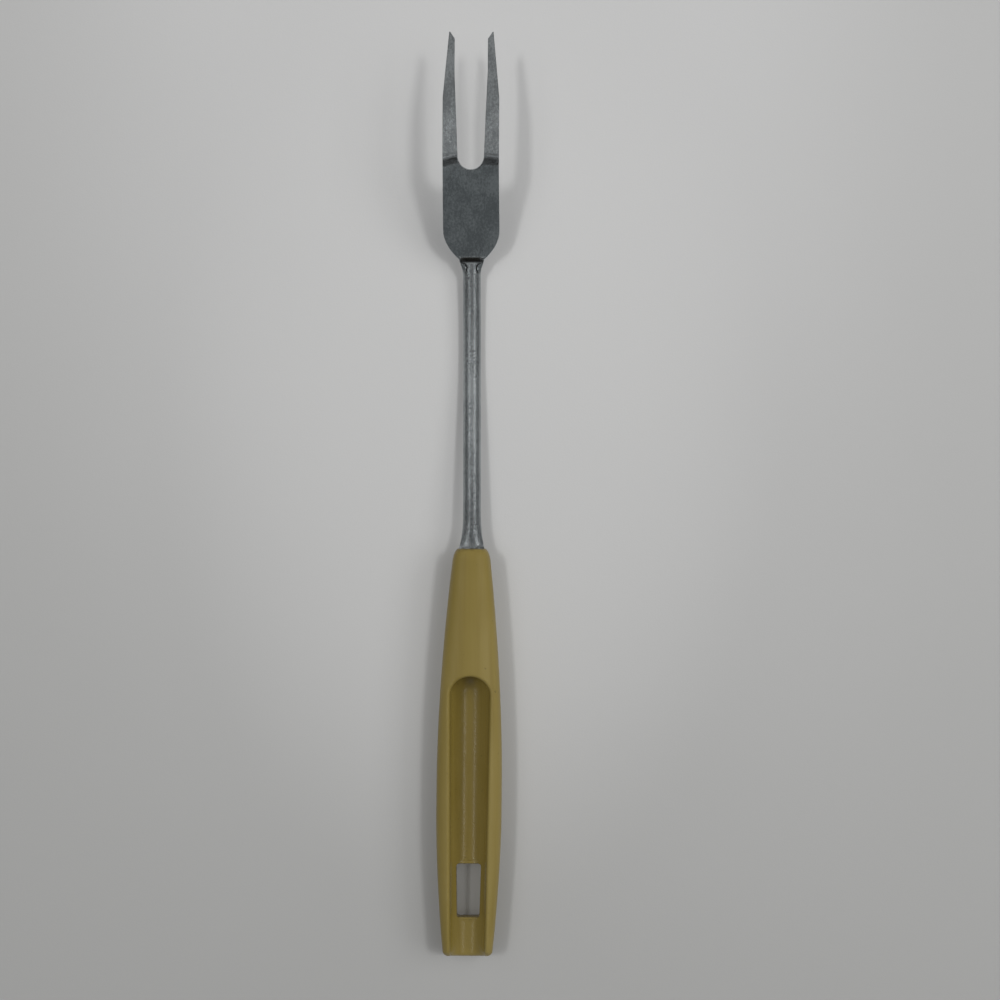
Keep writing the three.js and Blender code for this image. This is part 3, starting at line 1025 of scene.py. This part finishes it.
    def _whole(self, along: float) -> np.ndarray:
        """Make the formed ring round the whole width of the sheet.

        Args:
            along: The place along the sheet.

        Returns:
            The ring's points in the part's frame.
        """
        half = self._half_strip(along)
        points = 2 * self.half_points + 1
        left, right = SheetEdge(-half, along, 1.0), SheetEdge(half, along, -1.0)
        return self.form(self._ring(left, right, points, self.thickness))

    def _halves(self, inner: SheetEdge, along: float, thickness: float) -> tuple[np.ndarray, np.ndarray]:
        """Make the formed rings of the two strips beside an opening.

        Args:
            inner: The right strip's edge at the opening.
            along: The place of the outer edges.
            thickness: How thick the sheet is there.

        Returns:
            The left strip's ring and the right strip's ring.
        """
        half = self._half_strip(along)
        mirrored = SheetEdge(-inner.across, inner.along, -inner.in_across, inner.in_along)
        points = self.half_points + 1
        left = self._ring(SheetEdge(-half, along, 1.0), mirrored, points, thickness)
        right = self._ring(inner, SheetEdge(half, along, -1.0), points, thickness)
        return self.form(left), self.form(right)

    def _round_rows(
        self, centre: float, radius: float, turn: float, count: int
    ) -> list[tuple[SheetEdge, float]]:
        """Follow the edge of a round opening.

        Args:
            centre: The middle of the opening along the sheet.
            radius: The opening's radius.
            turn: How far round the edge goes, from the end nearer the mouth.
            count: How many steps it takes.

        Returns:
            Each step's edge, with the place of its row.
        """
        rows = []
        for angle in np.linspace(0.0, turn, count + 1):
            side, ahead = math.sin(angle), -math.cos(angle)
            edge = SheetEdge(radius * side, centre + radius * ahead, side, ahead)
            rows.append((edge, centre + (radius + self.edge_rounding) * ahead))
        return rows

    def _tine_rows(self) -> list[tuple[SheetEdge, float, float]]:
        """Follow the inner edge of the right tine from the crotch to the point.

        Returns:
            Each row's inner edge, its place along the sheet and the sheet's thickness there.
        """
        crotch = self._plan_at(self.root_start) - self.crotch_below_root + self.crotch_radius
        centre = self._along_at(crotch)
        bottom = self._round_rows(centre, self.crotch_radius, QUARTER_TURN, self.crotch_steps)
        rows = [(edge, along, self.thickness) for edge, along in bottom]
        tip = self._plan_at(self.tip)
        shoulder = tip - self.tip_bevel_length
        end = self.span_at_tip / 2 - self.tip_flat
        places = in_order(
            spaced(crotch, crotch + self.crotch_reach, self.crotch_step),
            spaced(crotch + self.crotch_reach, shoulder, self.tine_step),
            spaced(shoulder, tip, self.tip_step),
        )
        corners = (crotch, crotch + self.gap_taper_length, shoulder, tip)
        widths = (self.crotch_radius, self.gap_at_tip / 2, self.gap_at_tip / 2, end)
        for place in places[1:]:
            across = float(np.interp(place, corners, widths))
            along = self._along_at(place)
            drawn_in = float(quarter_round(self.tip_rounding, np.array(tip - place)))
            rows.append((SheetEdge(across, along, 1.0), along, self.thickness - self.tip_thinning * drawn_in))
        return rows

    def _add_faces(self, skin: Skin) -> None:
        """Add every face of the steel.

        Args:
            skin: The skin that takes the faces.
        """
        hole = self.tang_hole_from_end - self.tang_length
        hole_rows = self._round_rows(hole, self.tang_hole_diameter / 2, math.pi, self.hole_steps)
        tine_rows = self._tine_rows()
        before = spaced(-self.tang_length, hole_rows[0][1], self.tang_step)
        after = in_order(
            spaced(hole_rows[-1][1], 0.0, self.plain_step),
            spaced(0.0, self.flare_length, self.flare_step),
            spaced(self.flare_length, self.neck_start, self.plain_step),
            spaced(self.neck_start, self.neck_end, self.neck_step),
            spaced(self.neck_end, self.round_end, self.round_step),
            spaced(self.round_end, tine_rows[0][1], self.head_step),
        )
        first = [self._whole(place) for place in before]
        skin.fan(first[0])
        skin.grid(first, around=True)
        skin.grid([self._whole(place) for place in after], around=True)
        beside = [self._halves(edge, along, self.thickness) for edge, along in hole_rows]
        tines = [self._halves(*row) for row in tine_rows]
        for strips in (*zip(*beside), *zip(*tines)):
            skin.grid(strips, around=True)
        for end in tines[-1]:
            skin.fan(end)

    def settle(self) -> None:
        """Put the steel where its CAD solid is, with its bowed shank just off the floor."""
        self.mouth_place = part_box(Node.HANDLE.value)[1].y
        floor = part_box(Node.STEEL.value)[0].z
        shank = spaced(self.flare_length, self.neck_end, self.settle_step)
        lowest = min(self._whole(place)[:, 2].min() for place in shank)
        self.lift = floor + self.shank_clearance - lowest

    def crease_place(self) -> float:
        """Return where along the fork the crease of the neck is."""
        return self.mouth_place + self._plan_at(self.shank_length + self.crease_share * self.neck_bend_length)

    def mouth_height(self) -> float:
        """Return the height of the middle of the sheet where it enters the handle."""
        return self.lift + float(np.interp(0.0, self.runs, self.upward[self.middle]))

    def build(self, finish: SatinSteel, side: SideBow) -> bpy.types.Object:
        """Make the steel.

        Args:
            finish: The finish of the steel.
            side: How the fork is bowed to the side.

        Returns:
            The piece.
        """
        skin = Skin()
        self._add_faces(skin)
        skin.merge()
        skin.bow(side)
        made = skin.object("steel_fork", finish.material(self.mouth_place, self.crease_place()))
        # The brushed shine turns about the mesh's own texture space, so a far, wide one makes it even
        made.data.use_auto_texspace = False
        made.data.texspace_location = self.shine_middle
        made.data.texspace_size = self.shine_size
        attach(made, "root")
        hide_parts(Node.STEEL.value)
        return made


@dataclass
class MouldedHandle:
    """The one-piece plastic handle: squared oval, with a thumb groove, a hanging slot and a socket."""

    mouth_height: float
    mouth_place: float
    socket_slope: float
    length: float = 147.5 * MM
    mouth_width: float = 12.7 * MM
    mouth_depth: float = 10.0 * MM
    belly_from_mouth: float = 84.0 * MM
    belly_length: float = 12.0 * MM
    underside_rise_length: float = 42.0 * MM
    belly_width: float = 23.5 * MM
    butt_width: float = 17.6 * MM
    mouth_rounding: float = 4.4 * MM
    mouth_draw_in: float = 1.6 * MM
    butt_rounding: float = 1.75 * MM
    mouth_curve: float = 1.8
    butt_curve: float = 1.65
    belly_top: float = 14.6 * MM
    butt_top: float = 13.3 * MM
    widest_line: float = 9.2 * MM
    underside_cut: float = 0.7 * MM
    squareness: float = 2.4
    groove_start: float = 45.4 * MM
    groove_width_at_top: float = 14.2 * MM
    groove_width_at_butt: float = 12.3 * MM
    groove_floor_at_top: float = 2.6 * MM
    groove_floor_at_butt: float = 5.6 * MM
    groove_wall: float = 0.1 * MM
    groove_end_flare: float = 0.5 * MM
    lip_rounding: float = 1.0 * MM
    lip_limit: float = 0.6
    floor_end_rounding: float = 1.1 * MM
    butt_lean: float = 0.40
    butt_lean_height: float = 7.0 * MM
    butt_lean_length: float = 12.0 * MM
    butt_top_rounding: float = 4.0 * MM
    butt_top_draw_in: float = 0.6
    slot_from_butt: float = 13.6 * MM
    slot_length: float = 19.3 * MM
    slot_width_at_top: float = 8.9 * MM
    slot_width_at_butt: float = 8.2 * MM
    slot_corner: float = 0.9 * MM
    slot_edge_rounding: float = 0.35 * MM
    slot_undercut: float = 1.2 * MM
    slot_margin: float = 0.9 * MM
    slot_underside: float = 2.0 * MM
    slot_ceiling: float = 10.5 * MM
    socket_width: float = 9.2 * MM
    socket_height: float = 2.0 * MM
    socket_depth: float = 36.3 * MM
    socket_bevel: Pair = (0.25 * MM, 0.1 * MM)
    half_points: int = 44
    mouth_points: int = 10
    butt_points: int = 14
    ball_points: int = 33
    lip_points: int = 9
    wall_points: int = 5
    floor_points: int = 19
    slot_corner_points: int = 9
    slot_edge_points: int = 6
    row_step: float = 1.2 * MM

    def __post_init__(self) -> None:
        """Work out where the belly ends and where the middle of the groove's ball-shaped end is."""
        self.belly_end = self.belly_from_mouth + self.belly_length
        self.ball = self.groove_start + self.groove_width_at_top / 2

    def _past_belly(self, from_mouth: Any) -> Any:
        """Return how far a place is from the belly to the butt, from 0 to 1."""
        return np.clip((from_mouth - self.belly_end) / (self.length - self.belly_end), 0.0, 1.0)

    def _half_width(self, from_mouth: Any) -> Any:
        """Find half the handle's width before its ends are rounded.

        Args:
            from_mouth: The distance from the mouth.

        Returns:
            Half the width there.
        """
        before = np.clip(1.0 - from_mouth / self.belly_from_mouth, 0.0, 1.0)
        front = blend(self.belly_width, self.mouth_width, before**self.mouth_curve)
        return blend(front, self.butt_width, self._past_belly(from_mouth) ** self.butt_curve) / 2

    def _heights(self, from_mouth: Any) -> tuple[Any, Any, Any]:
        """Find the heights of the handle before its ends are rounded.

        Args:
            from_mouth: The distance from the mouth.

        Returns:
            The heights of the underside, the widest line and the top.
        """
        rise = np.clip(1.0 - from_mouth / self.underside_rise_length, 0.0, 1.0) ** self.mouth_curve
        underside = blend(-self.underside_cut, self.mouth_height - self.mouth_depth / 2, rise)
        widest = blend(self.widest_line, self.mouth_height, rise)
        front = blend(self.belly_top, self.mouth_height + self.mouth_depth / 2, rise)
        top = blend(front, self.butt_top, self._past_belly(from_mouth))
        end = np.asarray(self.length - from_mouth)
        return underside, widest, top - self.butt_top_draw_in * quarter_round(self.butt_top_rounding, end)

    def _inset(self, from_mouth: Any) -> Any:
        """Find how far the rounding of the two ends draws the surface in.

        Args:
            from_mouth: The distance from the mouth.

        Returns:
            How far it is drawn in there.
        """
        butt = quarter_round(self.butt_rounding, np.asarray(self.length - from_mouth))
        mouth = quarter_round(self.mouth_rounding, np.asarray(from_mouth))
        return mouth * self.mouth_draw_in / self.mouth_rounding + butt

    def _surface(self, across: Any, from_mouth: Any, upper: bool) -> Any:
        """Find the height of the outer surface.

        Args:
            across: The distance from the middle.
            from_mouth: The distance from the mouth.
            upper: Whether it is the upper or the lower surface.

        Returns:
            The height at that place.
        """
        inset = self._inset(from_mouth)
        underside, widest, top = self._heights(from_mouth)
        share = np.clip(np.abs(across) / (self._half_width(from_mouth) - inset), 0.0, 1.0)
        height = (1.0 - share**self.squareness) ** (1.0 / self.squareness)
        if upper:
            return widest + (top - widest - inset) * height
        return np.maximum(widest - (widest - underside - inset) * height, 0.0)

    def _groove_half(self, from_mouth: Any) -> Any:
        """Find half the width of the groove.

        Args:
            from_mouth: The distance from the mouth.

        Returns:
            Half the width there.
        """
        share = np.clip((from_mouth - self.ball) / (self.length - self.ball), 0.0, 1.0)
        flare = quarter_round(self.groove_end_flare, np.asarray(self.length - from_mouth))
        return blend(self.groove_width_at_top, self.groove_width_at_butt, share) / 2 + flare

    def _low(self, from_mouth: Any) -> Any:
        """Find the height of the middle of the groove's floor.

        Args:
            from_mouth: The distance from the mouth.

        Returns:
            The height there.
        """
        share = np.clip((from_mouth - self.groove_start) / (self.length - self.groove_start), 0.0, 1.0)
        low = blend(self.groove_floor_at_top, self.groove_floor_at_butt, share)
        return low - quarter_round(self.floor_end_rounding, np.asarray(self.length - from_mouth))

    def _bowl(self, from_mouth: Any) -> Any:
        """Find how far the curve of the groove's floor rises at its sides.

        Args:
            from_mouth: The distance from the mouth.

        Returns:
            The rise there.
        """
        half = self._groove_half(from_mouth)
        rim = self._surface(half + self.lip_rounding, from_mouth, upper=True)
        return np.minimum(half, rim - self.lip_rounding - self._low(from_mouth) - self.groove_wall)

    def _floor_radius(self, from_mouth: Any) -> Any:
        """Return the radius of the groove's floor, which is a circular arc from wall to wall."""
        half, bowl = self._groove_half(from_mouth), self._bowl(from_mouth)
        return (half * half + bowl * bowl) / (2.0 * bowl)

    def _floor(self, across: Any, from_mouth: Any) -> Any:
        """Return the height of the floor of the groove."""
        radius = self._floor_radius(from_mouth)
        return self._low(from_mouth) + radius - np.sqrt(radius * radius - across * across)

    def _lip(self, from_mouth: float) -> float:
        """Return the rounding of the groove's lip, which is thin at the butt."""
        room = self._half_width(from_mouth) - self._inset(from_mouth) - self._groove_half(from_mouth)
        return float(min(self.lip_rounding, self.lip_limit * room))

    def _outer(self, from_mouth: float, start: float) -> np.ndarray:
        """Make the outer contour from the right side of the groove, under the handle, to its left side.

        Args:
            from_mouth: The distance from the mouth.
            start: How far from the middle the contour starts and ends.

        Returns:
            The contour's points.
        """
        inset = float(self._inset(from_mouth))
        half = float(self._half_width(from_mouth)) - inset
        underside, widest, top = (float(height) for height in self._heights(from_mouth))
        first = math.acos(min(1.0, start / half) ** (self.squareness / 2))
        angles = np.linspace(first, -QUARTER_TURN, self.half_points + 1)
        power = 2.0 / self.squareness
        across = half * np.abs(np.cos(angles)) ** power
        across[-1] = 0.0
        if start == 0.0:
            across[0] = 0.0
        reach = np.where(angles > 0.0, top - widest - inset, widest - underside - inset)
        height = np.maximum(widest + reach * np.sign(angles) * np.abs(np.sin(angles)) ** power, 0.0)
        right = np.column_stack((across, np.full_like(across, self.mouth_place - from_mouth), height))
        left = right[-2::-1] * (-1.0, 1.0, 1.0)
        return np.concatenate((right, left))

    def _trough(self, from_mouth: float, angle: float, side: float) -> np.ndarray:
        """Make one line down the side of the groove, from its lip to the middle of its floor.

        Args:
            from_mouth: The place of the line where it starts, from the mouth.
            angle: How far round the ball-shaped end it is; a right angle on the straight run.
            side: 1 on the right and -1 on the left.

        Returns:
            The line's points.
        """
        straight = from_mouth >= self.ball
        place = max(from_mouth, self.ball)
        half = float(self._groove_half(place))
        lip = self._lip(place)
        across = half + lip if straight else (half + lip) * math.sin(angle)
        rim = float(self._surface(across, from_mouth, upper=True))
        turns = np.linspace(QUARTER_TURN, math.pi, self.lip_points)
        low = float(self._low(place))
        wall = np.linspace(rim - lip, low + float(self._bowl(place)), self.wall_points)[1:-1]
        radius = float(self._floor_radius(place))
        bends = np.linspace(math.asin(min(1.0, half / radius)), 0.0, self.floor_points)
        outward = np.concatenate((
            half + lip + lip * np.cos(turns),
            np.full(len(wall), half),
            radius * np.sin(bends),
        ))
        height = np.concatenate((
            rim - lip + lip * np.sin(turns),
            wall,
            low + radius * (1.0 - np.cos(bends)),
        ))
        outward[-1] = 0.0
        if straight:
            along = np.full_like(outward, self.mouth_place - from_mouth)
            return np.column_stack((side * outward, along, height))
        along = self.mouth_place - self.ball + outward * math.cos(angle)
        return np.column_stack((side * outward * math.sin(angle), along, height))

    def _slot_ring(self, grow: float, undercut: float) -> np.ndarray:
        """Make the outline of the hanging slot.

        Args:
            grow: How far outside the slot's wall the outline is.
            undercut: How much further towards the butt it reaches.

        Returns:
            Points as distance across and distance from the mouth.
        """
        near = self.length - self.slot_from_butt - self.slot_length - grow
        far = near + self.slot_length + 2 * grow + undercut
        corner = self.slot_corner + grow
        at_top = self.slot_width_at_top / 2 + grow - corner
        at_butt = self.slot_width_at_butt / 2 + grow - corner
        middles = (
            (at_butt, far - corner),
            (-at_butt, far - corner),
            (-at_top, near + corner),
            (at_top, near + corner),
        )
        points = []
        for quarter, (across, place) in enumerate(middles):
            start = quarter * QUARTER_TURN
            for angle in np.linspace(start, start + QUARTER_TURN, self.slot_corner_points):
                points.append((across + corner * math.cos(angle), place + corner * math.sin(angle)))
        return np.array(points)

    def _slot_loops(self) -> list[np.ndarray]:
        """Make the rings down the hanging slot.

        Returns:
            The rings, from the groove's floor to the underside.
        """
        upper, lower = [], []
        for angle in np.linspace(0.0, QUARTER_TURN, self.slot_edge_points):
            grow = self.slot_edge_rounding * (1.0 - math.sin(angle))
            drop = self.slot_edge_rounding * (1.0 - math.cos(angle))
            across, place = self._slot_ring(grow, 0.0).T
            floor = self._floor(across, place) - drop
            upper.append(np.column_stack((across, self.mouth_place - place, floor)))
            across, place = self._slot_ring(grow, self.slot_undercut).T
            under = self._surface(across, place, upper=False) + drop
            lower.append(np.column_stack((across, self.mouth_place - place, under)))
        return upper + lower[::-1]

    def _cut_slot(self, skin: Skin) -> None:
        """Cut the hanging slot through the floor of the groove, with soft edges.

        Args:
            skin: The skin of the handle.
        """
        loops = self._slot_loops()
        low = self.mouth_place - self.length + self.slot_from_butt
        high = low + self.slot_length + self.slot_margin
        reach = max(self.slot_width_at_top, self.slot_width_at_butt) / 2 + self.slot_margin

        def near(point: Vector, end: float) -> bool:
            """Tell whether a point is over or under the slot, which ends at the given place."""
            return abs(point.x) < reach and end - self.slot_margin < point.y < high

        def over(point: Vector) -> bool:
            """Tell whether a point is on the groove's floor where the slot opens."""
            return near(point, low) and self.slot_underside < point.z < self.slot_ceiling

        def under(point: Vector) -> bool:
            """Tell whether a point is on the underside where the slot opens."""
            return near(point, low - self.slot_undercut) and point.z < self.slot_underside

        above, below = skin.open_window(over), skin.open_window(under)
        skin.grid(loops, around=True)
        skin.merge()
        skin.bridge(above, loops[0])
        skin.bridge(below, loops[-1])

    def _socket_rings(self, face: np.ndarray) -> list[np.ndarray]:
        """Make the rings of the socket that the tang fills.

        Args:
            face: The ring round the mouth.

        Returns:
            The socket's rings, from its end to the mouth.
        """
        middle = np.array([0.0, 0.0, self.mouth_height])
        spokes = (face - middle) * (1.0, 0.0, 1.0)
        across, up = np.maximum(np.abs(spokes[:, ::2]), TINY).T
        scale = np.minimum(self.socket_width / 2 / across, self.socket_height / 2 / up)
        rim = middle + spokes * scale[:, None]
        slope = math.tan(math.radians(self.socket_slope))
        bevel_depth, bevel = self.socket_bevel
        rings = []
        for depth, grow in ((self.socket_depth, 0.0), (bevel_depth, 0.0), (0.0, bevel)):
            ring = rim + np.sign(spokes) * np.minimum(grow, np.abs(spokes))
            ring[:, 1] = self.mouth_place - depth
            ring[:, 2] += depth * slope
            rings.append(ring)
        return rings

    def _add_faces(self, skin: Skin) -> None:
        """Add the faces of the outside, the socket and the groove.

        Args:
            skin: The skin that takes the faces.
        """
        reach = self.groove_width_at_top / 2 + self._lip(self.ball)
        mouth_turns = np.linspace(0.0, QUARTER_TURN, self.mouth_points)
        butt_turns = np.linspace(0.0, QUARTER_TURN, self.butt_points)
        front = in_order(
            self.mouth_rounding * (1.0 - np.cos(mouth_turns)),
            spaced(self.mouth_rounding, self.ball - reach, self.row_step),
        )
        straight = in_order(
            spaced(self.ball, self.length - self.butt_rounding, self.row_step),
            self.length - self.butt_rounding * (1.0 - np.sin(butt_turns)),
        )
        rows = [(place, 0.0, 0.0) for place in front]
        for turn in np.linspace(0.0, QUARTER_TURN, self.ball_points)[1:-1]:
            rows.append((self.ball - reach * math.cos(turn), reach * math.sin(turn), turn))
        for place in straight:
            rows.append((place, float(self._groove_half(place)) + self._lip(place), QUARTER_TURN))
        contours = [self._outer(place, start) for place, start, _ in rows]
        sockets = self._socket_rings(contours[0])
        skin.fan(sockets[0][:-1])
        skin.grid(sockets + contours, around=False)
        grooved = [row for row in rows if row[0] >= self.ball - reach - SAME_PLACE]
        for side in (1.0, -1.0):
            skin.grid([self._trough(place, turn, side) for place, _, turn in grooved], around=False)
        right, left = (self._trough(self.length, QUARTER_TURN, side) for side in (1.0, -1.0))
        inner = np.concatenate((right, left[-2::-1]))
        skin.plate(np.concatenate((contours[-1], inner[-2:0:-1])))

    def _lean_butt(self, skin: Skin) -> None:
        """Lean the end of the handle, so that its floor reaches further than the tops of its walls.

        Args:
            skin: The skin of the handle.
        """
        end = self.mouth_place - self.length
        for vert in skin.mesh.verts:
            share = float(smooth_step(np.asarray(vert.co.y), end + self.butt_lean_length, end))
            vert.co.y += share * self.butt_lean * (vert.co.z - self.butt_lean_height)

    def build(self, finish: MouldedPlastic, side: SideBow) -> bpy.types.Object:
        """Make the handle.

        Args:
            finish: The finish of the plastic.
            side: How the fork is bowed to the side.

        Returns:
            The piece.
        """
        skin = Skin()
        self._add_faces(skin)
        skin.merge()
        self._cut_slot(skin)
        self._lean_butt(skin)
        skin.bow(side)
        made = skin.object("moulded_handle", finish.material(self.mouth_place))
        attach(made, "root")
        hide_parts(Node.HANDLE.value)
        return made


@dataclass(frozen=True)
class Lamp:
    """A lamp over the fork: its name, how far right and ahead it hangs, its height, size and power."""

    name: str
    side: float
    ahead: float
    height: float
    size: Pair
    power: float


STRIP_SIDE = 1.15
STRIP_HEIGHT = 2.0
STRIP_LEAN = math.atan2(STRIP_SIDE, STRIP_HEIGHT)


@dataclass
class Studio:
    """The floor, the lamps, the cards that show in reflections, the dim room and the camera above."""

    camera_place: Triple = (0.0108, 0.0, 0.405)
    camera_turn: float = math.radians(0.27)
    lens: float = 39.6
    sensor: float = 36.0
    floor_size: float = 8.0
    floor_gap: float = 0.1 * MM
    plate_parts: int = 8
    room: Colour = (0.18, 0.18, 0.184)
    lamps: tuple[Lamp, ...] = (
        Lamp("left_lamp", -0.64, 0.22, 1.2, (0.12, 0.30), 3.4),
        Lamp("right_lamp", 0.72, 0.22, 1.2, (0.18, 0.30), 3.6),
        Lamp("left_soft_lamp", -0.70, 0.35, 1.2, (0.70, 1.6), 3.3),
        Lamp("right_soft_lamp", 0.75, 0.35, 1.2, (0.70, 1.6), 3.9),
        Lamp("low_lamps", 1.6, 0.35, 1.1, (0.60, 1.9), 9.2),
    )
    cards: tuple[MirroredCard, ...] = (
        MirroredCard("left_strip", 2.6, (0.15, 1.58), (-STRIP_SIDE, 0.26, STRIP_HEIGHT), -STRIP_LEAN),
        MirroredCard("right_strip", 3.2, (0.15, 1.58), (STRIP_SIDE, 0.26, STRIP_HEIGHT), STRIP_LEAN),
        MirroredCard("left_butt_strip", 4.6, (0.20, 0.47), (-STRIP_SIDE, -0.775, STRIP_HEIGHT), -STRIP_LEAN),
        MirroredCard("right_butt_strip", 5.0, (0.20, 0.47), (STRIP_SIDE, -0.775, STRIP_HEIGHT), STRIP_LEAN),
        MirroredCard("dark_card", 0.01, (2.0, 0.102), (0.0, -0.039, 0.404)),
        MirroredCard("left_flag", 0.15, (2.4, 6.0), (-2.4, 0.3, 1.2), QUARTER_TURN),
        MirroredCard("right_flag", 0.15, (2.4, 6.0), (2.4, 0.3, 1.2), QUARTER_TURN),
        MirroredCard("back_card", 0.180, (6.0, 3.2), (0.0, -2.52, 2.0), tint=(0.95, 1.0, 1.02)),
        MirroredCard("ceiling_card", 0.12, (6.0, 0.77), (0.0, -0.535, 2.03)),
        MirroredCard("dim_card", 0.20, (6.0, 0.31), (0.0, 0.205, 2.02)),
        MirroredCard("front_card", 0.345, (6.0, 2.29), (0.0, 1.505, 2.02)),
    )

    def light(self, backdrop: Colour) -> None:
        """Hang the lamps and set the room's own light.

        Args:
            backdrop: The colour that shows behind the object and in its reflections.
        """
        for lamp in self.lamps:
            data = bpy.data.lights.new(lamp.name, "AREA")
            data.shape = "RECTANGLE"
            data.size, data.size_y = lamp.size
            data.energy = lamp.power
            hung = bpy.data.objects.new(lamp.name, data)
            hung.visible_glossy = False
            hung.location = (lamp.side, lamp.ahead, lamp.height)
            hung.rotation_euler = (0.0, math.atan2(lamp.side, lamp.height), 0.0)
            bpy.context.scene.collection.objects.link(hung)
        world = bpy.data.worlds.new("dim_room")
        world.use_nodes = True
        tree = NodeTree(world.node_tree)
        dim = tree.glow("ShaderNodeBackground", self.room)
        pale = tree.glow("ShaderNodeBackground", backdrop)
        tree.finish(tree.mix_shaders(tree.seen(), dim, pale), "ShaderNodeOutputWorld")
        bpy.context.scene.world = world

    def _plate(self, name: str, size: Pair, place: Triple) -> bpy.types.Object:
        """Make a flat plate.

        Args:
            name: The plate's name.
            size: The lengths of its sides.
            place: Where its middle is.

        Returns:
            The plate.
        """
        mesh = bmesh.new()
        bmesh.ops.create_grid(mesh, x_segments=self.plate_parts, y_segments=self.plate_parts, size=0.5)
        bmesh.ops.scale(mesh, vec=(*size, 1.0), verts=mesh.verts)
        data = bpy.data.meshes.new(name)
        mesh.to_mesh(data)
        mesh.free()
        plate = bpy.data.objects.new(name, data)
        plate.location = place
        bpy.context.scene.collection.objects.link(plate)
        plate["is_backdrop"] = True
        return plate

    def set_floor(self, finish: PaleFloor, floor_height: float) -> bpy.types.Object:
        """Lay the floor.

        Args:
            finish: The floor's finish.
            floor_height: The height of the floor.

        Returns:
            The floor.
        """
        floor = self._plate("floor", (self.floor_size, self.floor_size), (0.0, 0.0, floor_height))
        floor.data.materials.append(finish.material())
        return floor

    def set_card(self, finish: MirroredCard) -> bpy.types.Object:
        """Hang a card that shows only in reflections.

        Args:
            finish: The card.

        Returns:
            The card's object.
        """
        card = self._plate(finish.name, finish.size, finish.place)
        card.rotation_euler = (0.0, finish.lean, 0.0)
        card.data.materials.append(finish.material())
        card.visible_camera = False
        card.visible_diffuse = False
        card.visible_shadow = False
        card.visible_transmission = False
        return card

    def set_camera(self) -> bpy.types.Object:
        """Put the camera straight above the fork.

        Returns:
            The camera.
        """
        data = bpy.data.cameras.new("camera")
        data.lens = self.lens
        data.sensor_width = self.sensor
        camera = bpy.data.objects.new("camera", data)
        camera.location = self.camera_place
        camera.rotation_euler = (0.0, 0.0, self.camera_turn)
        bpy.context.scene.collection.objects.link(camera)
        bpy.context.scene.camera = camera
        return camera


def main() -> None:
    """Build the fork, the handle and the studio."""
    logging.basicConfig(level=logging.INFO)
    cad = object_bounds()
    bpy.context.scene.view_settings.view_transform = "Standard"
    side = SideBow()
    steel = SteelFork()
    steel.settle()
    log.info("made %s", steel.build(SatinSteel(), side).name)
    handle = MouldedHandle(steel.mouth_height(), steel.mouth_place, -steel.shank_slope)
    log.info("made %s", handle.build(MouldedPlastic(), side).name)
    studio = Studio()
    floor = PaleFloor()
    studio.light(floor.backdrop)
    log.info("made %s", studio.set_floor(floor, cad[0].z - studio.floor_gap).name)
    for card in studio.cards:
        log.info("made %s", studio.set_card(card).name)
    log.info("made %s", studio.set_camera().name)


if __name__ == "__main__":
    main()
